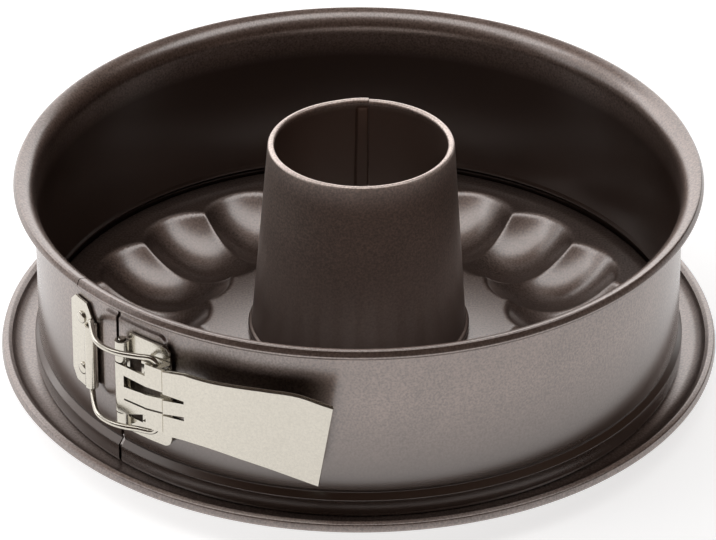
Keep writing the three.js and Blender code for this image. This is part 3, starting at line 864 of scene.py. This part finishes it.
# Angles of the wall's stations, and which of them bound the slit, the rim and the tongue
def wall_stations():
    gap = math.degrees(slit_gap / wall_mid)
    corner = math.degrees(boss_corner / wall_mid)
    fold = math.degrees(seat_gap / wall_mid)
    right_edge = np.array((boss_right_angle + corner, boss_right_angle - boss_side))
    left_edge = np.array((boss_left_angle + boss_side, boss_left_angle - corner))
    tongue_stations = 11
    turn = rim_break_angle + math.degrees(rim_gap / wall_mid) - 360
    tongue_end = slit_angle - tongue_angle
    angles = np.concatenate([
        np.linspace(rim_break_angle, slit_angle, 8),
        np.linspace(slit_angle, right_edge[0], 9)[1:],
        np.linspace(*right_edge, 15)[1:],
        np.linspace(right_edge[1], turn, 190)[1:],
        np.linspace(turn, left_edge[0] - 360, 4)[1:],
        np.linspace(*left_edge, 15)[1:] - 360,
        np.linspace(left_edge[1], slit_angle + gap, 5)[1:] - 360,
        np.linspace(slit_angle + gap - fold, tongue_end, tongue_stations) - 360,
    ])
    tongue_start = len(angles) - tongue_stations - 1
    rim_stop = np.searchsorted(-angles, -turn)
    slit_station = np.searchsorted(-angles, -slit_angle)
    return angles, slit_station, rim_stop, tongue_start


# Wall: one strip from the rim's break, round the pan, to the tongue that laps under the slit
def band_shape():
    profile, crease_row, break_row = wall_profile()
    angles, slit_station, rim_stop, tongue_start = wall_stations()
    rows = np.arange(len(profile))[None, :]
    stations = np.arange(len(angles))[:, None]
    on_wall = (rows >= crease_row) & (rows <= break_row)
    real = np.where(stations >= rim_stop, angles[:, None] + 360, angles[:, None])
    shift = np.where(on_wall, boss_at(real, profile[None, :, 1]), 0)
    lapped = on_wall & (stations >= tongue_start)
    settle = np.clip(stations - tongue_start, 0, 1)
    shift = np.where(lapped, shift * (1 - settle) - (wall_sheet + seat_gap) * settle, shift)
    cells = np.arange(len(angles) - 1)[:, None]
    bands = np.arange(len(profile) - 1)[None, :]
    there = np.where(cells < slit_station, bands > break_row, True)
    there = np.where(cells >= rim_stop, bands < break_row, there)
    there = np.where(cells >= tongue_start, (bands >= crease_row) & (bands < break_row), there)
    faces = []
    for side in (-1, 1):
        path = beside(profile, side * wall_sheet / 2)
        faces.append(place(angles[:, None], path[None, :, 0] + shift, path[None, :, 1]))
    run = np.tile(np.repeat(angles[0] - angles, len(profile)), 2)
    return sheet(*faces, present=there), run


# Rivet: a domed head outside the latch plate, a shank and a flat head inside the wall
def rivet_shape(angle, z, plate_mid):
    head = plate_mid + latch_sheet / 2 + rivet_seat
    inner = inside_radius - rivet_seat
    turns = np.linspace(0, 1.45, 7)
    dome_rise = rivet_rise - rivet_edge
    dome = [(rivet_head * math.cos(t), head + rivet_edge + dome_rise * math.sin(t)) for t in turns]
    outline = [
        (tip_hole, inner - rivet_inner),
        (rivet_head * 0.8, inner - rivet_inner),
        (rivet_head * 0.9, inner - rivet_inner * 0.7),
        (rivet_head * 0.9, inner),
        (rivet_radius, inner),
        (rivet_radius, head),
        (rivet_head, head),
        *dome,
        (tip_hole, head + rivet_rise),
    ]

    def placed(turn, radius, reach):
        turn = np.radians(turn)[..., None]
        spot = radius[..., None] * (np.cos(turn) * rightward(angle) + np.sin(turn) * UP)
        return spot + reach[..., None] * outward(angle) + z * UP

    return turned(outline, 24, placed)


# The two faces of a bent strip of sheet: a path in plan, with the heights of its rows at each point
def strip_sides(path, z, thickness):
    sides = []
    for side in (1, -1):
        grid = np.zeros((*z.shape, 3))
        grid[:, :, :2] = beside(path, side * thickness / 2)[:, None, :]
        grid[:, :, 2] = z
        sides.append(grid)
    return sides


# Keeper: a plate with cut corners whose right edge curls round the bail's wire
def keeper_shape():
    angles = np.concatenate([
        np.linspace(keeper_left_angle, keeper_left_angle - 1.5, 5),
        np.linspace(keeper_left_angle - 2, curl_angle + 1.6, 8),
        np.linspace(curl_angle + 1.3, curl_angle, 5),
    ])
    plate = place(angles, keeper_mid, 0.0)
    turns = np.linspace(*keeper_turns, 34)
    curl = np.array([around(curl_angle, curl_radius, curl_mid, turn) for turn in turns])
    path = np.vstack([plate, curl])[:, :2]
    run = np.radians(keeper_left_angle - angles) * keeper_mid
    width = math.radians(keeper_left_angle - curl_angle) * keeper_mid - curl_mid * 0.6
    left_cut = np.maximum(keeper_chamfer - run, 0)
    right_cut = np.maximum(keeper_chamfer - (width - run), 0)
    low = latch_z + keeper_low + keeper_cut_low[0] * left_cut + keeper_cut_low[1] * right_cut
    high = latch_z + keeper_high - keeper_cut_high[0] * left_cut - keeper_cut_high[1] * right_cut
    past = run > width
    curl_low, curl_high = latch_z - curl_half, latch_z + curl_half
    low = np.append(np.where(past, curl_low, low), np.full(len(curl), curl_low))
    high = np.append(np.where(past, curl_high, high), np.full(len(curl), curl_high))
    share = np.linspace(0, 1, 13)[None, :]
    z = low[:, None] * (1 - share) + high[:, None] * share
    return sheet(*strip_sides(path, z, latch_sheet))


# Bracket: a plate with rounded right corners and two knuckles round the pin
def bracket_shape():
    turns = np.linspace(*bracket_turns, 28)
    knuckle = [around(pin_angle, pin_axis_radius, knuckle_mid, turn) for turn in turns]
    flat = np.concatenate([
        np.linspace(pin_angle - 0.4, bracket_right_angle + 2.2, plate_stations),
        np.linspace(bracket_right_angle + 1.8, bracket_right_angle, 8),
    ])
    plate = place(flat, bracket_mid, 0.0)
    path = np.vstack([knuckle, plate])[:, :2]
    reach = np.radians(flat - bracket_right_angle) * bracket_mid
    inset = np.maximum(bracket_corner - reach, 0)
    cut = bracket_corner - np.sqrt(np.maximum(bracket_corner ** 2 - inset ** 2, 0))
    cut = np.concatenate([np.zeros(len(knuckle)), cut])
    upper = knuckle_high + channel_gap
    lower = knuckle_low - channel_gap
    steps = [bracket_low, barrel_low, bracket_notch_low, lower, bracket_window_low, bracket_window_high]
    steps += [upper, bracket_notch_high, barrel_high, bracket_high]
    edges = [np.linspace(a, b, 4)[:-1] for a, b in zip(steps, steps[1:])] + [[bracket_high]]
    rows = np.concatenate(edges)
    z = latch_z + rows[None, :] + np.zeros((len(path), 1))
    z = np.clip(z, latch_z + bracket_low + cut[:, None], latch_z + bracket_high - cut[:, None])
    middle = (rows[:-1] + rows[1:]) / 2
    on_barrel = ((middle > barrel_low) & (middle < lower)) | ((middle > upper) & (middle < barrel_high))
    first_plate = len(knuckle) + 1
    window_end = len(knuckle) + plate_stations - 1
    notch_end = len(knuckle) + np.searchsorted(-flat, -bracket_notch_angle)
    in_window = (middle > bracket_window_low) & (middle < bracket_window_high)
    in_notch = (middle > bracket_notch_low) & (middle < bracket_notch_high)
    there = np.ones((len(path) - 1, len(middle)), bool)
    there[:first_plate] = on_barrel
    there[first_plate:notch_end] = ~in_notch
    there[notch_end:window_end] = ~in_window
    return sheet(*strip_sides(path, z, latch_sheet), present=there)


# Bail: one wire, hooked at both ends, that bows out round the hinge and runs through the curl
def bail_shape():
    bow = [place(pin_angle + turn, bow_radius - inset, 0.0) for turn, inset in bail_bow]
    hook = place(hook_angle, hook_radius, 0.0)
    curl = place(curl_angle, curl_radius, 0.0)

    def toward(start, end, reach):
        return start + (end - start) / np.linalg.norm(end - start) * reach

    arm = [toward(curl, bow[0], bail_bend), *bow, toward(hook, bow[-1], bail_bend)]

    def half(z, inward):
        return [
            curl + UP * (z + inward * (bail_bend + bail_run)),
            curl + UP * (z + inward * bail_bend),
            *[point + UP * z for point in arm],
            hook + UP * (z + inward * bail_bend),
            hook + UP * (z + inward * bail_hook),
        ]

    points = half(latch_z + bail_half, -1)[::-1] + half(latch_z - bail_half, 1)
    return wire(spline(points, 8), wire_radius, 14)


# Pin: a plain pin with slightly domed ends
def pin_shape():
    low, high = latch_z + barrel_low - pin_end, latch_z + barrel_high + pin_end
    end = [(tip_hole, 0), (pin_radius * 0.8, pin_dome), (pin_radius, pin_edge)]
    outline = [(r, low + up) for r, up in end] + [(r, high - up) for r, up in end[::-1]]
    axis = place(pin_angle, pin_axis_radius, 0.0)
    points, faces = turned(outline, 24)
    return points + axis, faces


# Lever: knuckle, slotted neck and long plate as one lofted sheet
def lever_shape():
    window_low, window_high = ear_low + edge_low, ear_high - edge_high
    knuckle_rows = [knuckle_low - 1, knuckle_low, *neck_slots, knuckle_high, knuckle_high + 1]
    neck_rows = [ear_low - 1, knuckle_low + 0.4, *neck_slots, knuckle_high + 0.2, ear_high]
    ear_rows = [ear_low, window_low, *ear_slots, window_high, ear_high]
    joggle_rows = [ear_low, window_low, *joggle_slots, window_high, ear_high]
    row_count = len(plate_shares)
    stations = []
    for turn in np.linspace(*lever_turns, 20):
        spot = around(pin_angle, pin_axis_radius, lever_knuckle, turn)[None, :2]
        stations.append((spot.repeat(row_count, 0), knuckle_rows, "knuckle"))

    def station(angle, radius, rows, kind, slant=0.0, tilt=0.0):
        rows = np.array(rows, float)
        share = (rows - rows[0]) / (rows[-1] - rows[0])
        stations.append((place(angle + slant * share, radius + tilt * (share - 0.5), 0.0)[:, :2], rows, kind))

    station(pin_angle - neck_turn, pin_axis_radius + lever_knuckle + 0.1, neck_rows, "neck")
    station(ear_left_angle + fold_turn, ear_radius - 0.1, ear_rows, "neck")
    station(ear_left_angle - fold_turn, ear_radius, ear_rows, "ear")
    station(ear_right_angle + joggle_turn, ear_radius, joggle_rows, "ear")
    station(ear_right_angle, ear_radius + 0.05, joggle_rows, "groove")
    station(ear_right_angle - joggle_turn, ear_radius + joggle_rise, joggle_rows, "ear")
    for t in np.linspace(0, 1, lever_stations):
        angle, slant, radius, low, high = lever_at(t)
        station(angle, radius, low + plate_shares * (high - low), "plate", slant, lever_tilt * t)
    points, heights, kinds = zip(*stations)
    points = np.array(points)
    heights = np.array(heights) + latch_z
    sides = []
    for side in (1, -1):
        grid = np.zeros((len(stations), row_count, 3))
        for j in range(row_count):
            grid[:, j, :2] = beside(points[:, j], side * lever_sheet / 2)
        grid[:, :, 2] = heights
        sides.append(grid)
    groove = kinds.index("groove")
    outer = sides[1]
    outer[groove, :, :2] = points[groove] - joggle_depth * outward(ear_right_angle)[:2]
    first_neck = kinds.index("neck")
    first_ear = kinds.index("ear")
    first_plate = kinds.index("plate")
    there = np.ones((len(stations) - 1, row_count - 1), bool)
    there[:first_ear, [0, -1]] = False
    there[first_neck:first_plate, [2, 4]] = False
    return sheet(*sides, present=there)


# Angle, slant, radius and edges of the lever's plate, from its slots (0) to its tip (1)
def lever_at(t):
    plan = np.array(lever_plate)
    reach, low, high = (curve_at(plan[:, 0], plan[:, i], t) for i in (1, 2, 3))
    angle = slot_end_angle + t * (tip_low_angle - slot_end_angle)
    slant = t ** 6 * (tip_high_angle - tip_low_angle)
    return angle, slant, ear_radius + reach, low, high


# Hem: the fold along the back of the lever's upper edge
def lever_hem_shape():
    back = lever_sheet / 2 + hem_radius + ear_web
    path = [place(ear_right_angle - hem_turn, ear_radius + joggle_rise - back, latch_z + ear_high)]
    for t in np.linspace(0, 1, lever_stations):
        angle, slant, radius, _, high = lever_at(t)
        path.append(place(angle + slant, radius + lever_tilt * t / 2 - back, latch_z + high + hem_lift))
    return wire(path, hem_radius, 10)


# A smooth value between knots
def curve_at(knots, values, t):
    k = min(max(int(np.searchsorted(knots, t, side="right")) - 1, 0), len(knots) - 2)
    slopes = np.gradient(values, knots)
    h = knots[k + 1] - knots[k]
    u = (t - knots[k]) / h
    return (
        (1 + 2 * u) * (1 - u) ** 2 * values[k]
        + u * (1 - u) ** 2 * h * slopes[k]
        + u * u * (3 - 2 * u) * values[k + 1]
        + u * u * (u - 1) * h * slopes[k + 1]
    )


# Ear: a tab folded in from the lever, with an opening for the bail's hook
def ear_shape(low):
    hook = place(hook_angle, hook_radius, 0.0)[:2]
    along = place(pin_angle, pin_axis_radius, 0.0)[:2] - hook
    along /= np.linalg.norm(along)
    across = np.array((-along[1], along[0]))
    ear_in = bracket_mid + latch_sheet / 2 + seat_gap
    u_ends = (-ear_slot_from_pin - hook_room, ear_slot_to_pin + hook_room)
    w_ends = (-ear_slot_inward - hook_room, hook_room)
    hole = rounded_box(u_ends, w_ends, hook_room * 0.8, 6)
    hole = hook + hole[:, :1] * along + hole[:, 1:] * across
    reach = np.array((ear_in, ear_radius - lever_sheet / 2 - ear_web))
    left = place(ear_left_angle + ear_turn, reach, 0.0)[:, :2]
    right = place(ear_right_angle, reach, 0.0)[:, :2]
    centre = hole.mean(0)
    rim = np.array([reach_to(centre, spot, [left[0], left[1], right[1], right[0]]) for spot in hole])
    sides = []
    for z in (low, low + lever_sheet):
        grid = np.zeros((len(hole), 2, 3))
        grid[:, 0, :2] = hole
        grid[:, 1, :2] = rim
        grid[:, :, 2] = latch_z + z
        sides.append(grid)
    return sheet(*sides, wraps=True)


# Points of a rectangle with round corners
def rounded_box(u_ends, w_ends, radius, steps):
    points = []
    for u, w, start in ((1, 1, 0), (0, 1, 90), (0, 0, 180), (1, 0, 270)):
        centre = (u_ends[u] + (1 - 2 * u) * radius, w_ends[w] + (1 - 2 * w) * radius)
        points.append(arc(centre, radius, np.linspace(start, start + 90, steps)))
    return np.vstack(points)


# Where a line from a centre through a point leaves a four-sided outline
def reach_to(centre, point, corners):
    direction = point - centre
    hits = []
    for a, b in zip(corners, corners[1:] + corners[:1]):
        edge = b - a
        cross = direction[0] * edge[1] - direction[1] * edge[0]
        if abs(cross) < 1e-9:
            continue
        away = a - centre
        t = (away[0] * edge[1] - away[1] * edge[0]) / cross
        u = (away[0] * direction[1] - away[1] * direction[0]) / cross
        if t > 0 and -1e-6 <= u <= 1 + 1e-6:
            hits.append(t)
    return centre + direction * min(hits)


# Pieces
coating = coating_material("pan_coating", *brown, coat_roughness)
# The wall's coating carries painted shade on its inner face and towards its foot
wall_coating_painted_shade = coating_material("wall_coating_painted_shade", *brown, coat_roughness, painted_wall_inside_shade, painted_wall_foot_shade)
# The tube's coating is a lighter copy with painted light, and painted shade towards its foot and on its
# inside
tube_coating_painted_light_and_shade = coating_material("tube_coating_painted_light_and_shade", *tube_brown_painted_light, tube_coat_roughness, painted_tube_inside_shade, painted_tube_foot_shade)
tinned = tin_material()

piece("pan_base", base_shape(), coating, "base", "base_plate")
piece("pan_tube", tube_shape(), tube_coating_painted_light_and_shade, "base", "tube")
piece("pan_tube_seam", seam_shape(), tube_coating_painted_light_and_shade, "base")

# The wall bends open from the back round to its free end, and its other end stays with the bracket
wall_strip, wall_run = band_shape()
wall = piece("pan_wall", wall_strip, wall_coating_painted_shade, None, "band", run=wall_run)
bend_start = tuple(place(bend_angle, wall_mid, latch_z) * MM)
bend_end = tuple(place(keeper_left_angle, wall_mid, latch_z) * MM)
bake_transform(wall, "ring", "free_end", start=bend_start, end=bend_end)
along = np.zeros(len(wall.data.vertices), np.float32)
marks = wall.data.attributes
marks["run"].data.foreach_get("value", along)
bend_run = rim_break_angle - bend_angle + 360
free_run = rim_break_angle - keeper_left_angle + 360 - bend_margin
share = smooth((along - bend_run) / (free_run - bend_run))
marks["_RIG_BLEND"].data.foreach_set("value", share.astype(np.float32))
marks.remove(marks["run"])

ease_edges(piece("latch_keeper", keeper_shape(), tinned, "free_end", "keeper_plate"), cut_ease)
ease_edges(piece("latch_bracket", bracket_shape(), tinned, "ring", "bracket"), cut_ease)
piece("latch_bail", bail_shape(), tinned, "bail", "bail")
piece("latch_pin", pin_shape(), tinned, "ring", "pivot_pin")
ease_edges(piece("latch_lever", lever_shape(), tinned, "lever", "lever"), cut_ease)
piece("lever_hem", lever_hem_shape(), tinned, "lever")
for level, low in (("low", ear_low), ("high", ear_high - lever_sheet)):
    ease_edges(piece(f"lever_ear_{level}", ear_shape(low), tinned, "lever"), ear_ease)
for level, z in (("upper", keeper_rivet_high), ("lower", keeper_rivet_low)):
    shape = rivet_shape(keeper_rivet_angle, latch_z + z, keeper_mid)
    piece(f"keeper_rivet_{level}_head", shape, tinned, "free_end", f"keeper_rivet_{level}")
for level, z in (("upper", bracket_rivet_high), ("lower", bracket_rivet_low)):
    shape = rivet_shape(bracket_rivet_angle, latch_z + z, bracket_mid)
    piece(f"bracket_rivet_{level}_head", shape, tinned, "ring", f"bracket_rivet_{level}")

# Camera
camera_data = bpy.data.cameras.new("camera")
camera = added("camera", camera_data)
back = Vector((0, -math.cos(camera_elevation), math.sin(camera_elevation)))
camera.location = camera_target + back * camera_distance
camera.rotation_euler = (-back).to_track_quat("-Z", "Y").to_euler()
camera_data.sensor_width = sensor_width
camera_data.lens = camera_lens
bpy.context.scene.camera = camera


# Floor: white to the eye and in reflections, with the pan's shadow, a painted shadow where its glow fades out
# under the pan, and a painted falloff of light from left to right
def floor_material():
    material, tree, shader, where = new_material("floor")
    tree.nodes.remove(shader)
    diffuse = tree.nodes.new("ShaderNodeBsdfDiffuse")
    diffuse.inputs["Color"].default_value = (floor_grey, floor_grey, floor_grey, 1)
    glow = tree.nodes.new("ShaderNodeEmission")
    ray = tree.nodes.new("ShaderNodeLightPath").outputs
    seen = math_of(tree, "MAXIMUM", ray["Is Camera Ray"], ray["Is Glossy Ray"])
    seen = math_of(tree, "MAXIMUM", seen, ray["Is Transmission Ray"])
    reach = vector_of(tree, "LENGTH", where).outputs["Value"]
    # Painted shadow: the glow fades out under the pan
    glow_outside_painted_shadow = spread_of(tree, reach, 0.0, 1.0, white_from, white_to)
    # Painted falloff of light: the glow weakens from left to right
    white = spread_of(tree, axis_of(tree, where, "X"), left_white, right_white, left_end, right_end)
    lit = math_of(tree, "MULTIPLY", glow_outside_painted_shadow, math_of(tree, "MULTIPLY", seen, white))
    tree.links.new(lit, glow.inputs["Strength"])
    total = tree.nodes.new("ShaderNodeAddShader")
    tree.links.new(diffuse.outputs[0], total.inputs[0])
    tree.links.new(glow.outputs[0], total.inputs[1])
    tree.links.new(total.outputs[0], tree.nodes["Material Output"].inputs["Surface"])
    return material


floor_mesh = bpy.data.meshes.new("floor")
corners = [(x * floor_half, y * floor_half, 0) for x, y in ((-1, -1), (1, -1), (1, 1), (-1, 1))]
floor_mesh.from_pydata(corners, [], [(0, 1, 2, 3)])
floor_mesh.materials.append(floor_material())
floor = added("floor", floor_mesh)


# Light: a large soft box that faces the pan
def soft_box(name, azimuth, elevation, distance, width, height, brightness):
    turn, rise = math.radians(azimuth), math.radians(elevation)
    level = math.cos(rise)
    spot = Vector((-math.sin(turn) * level, -math.cos(turn) * level, math.sin(rise))) * distance
    data = bpy.data.lights.new(name, "AREA")
    data.shape = "RECTANGLE"
    data.size = width
    data.size_y = height
    data.energy = brightness * math.pi * width * height
    light = added(name, data)
    light.location = spot
    light.rotation_euler = (-spot).to_track_quat("-Z", "Y").to_euler()


for box in soft_boxes:
    soft_box(*box)

# Room
world = bpy.data.worlds.new("studio")
world.use_nodes = True
background = world.node_tree.nodes["Background"].inputs
background["Color"].default_value = (*room_colour, 1)
background["Strength"].default_value = room_strength
bpy.context.scene.world = world

bpy.context.scene.view_settings.view_transform = "Standard"
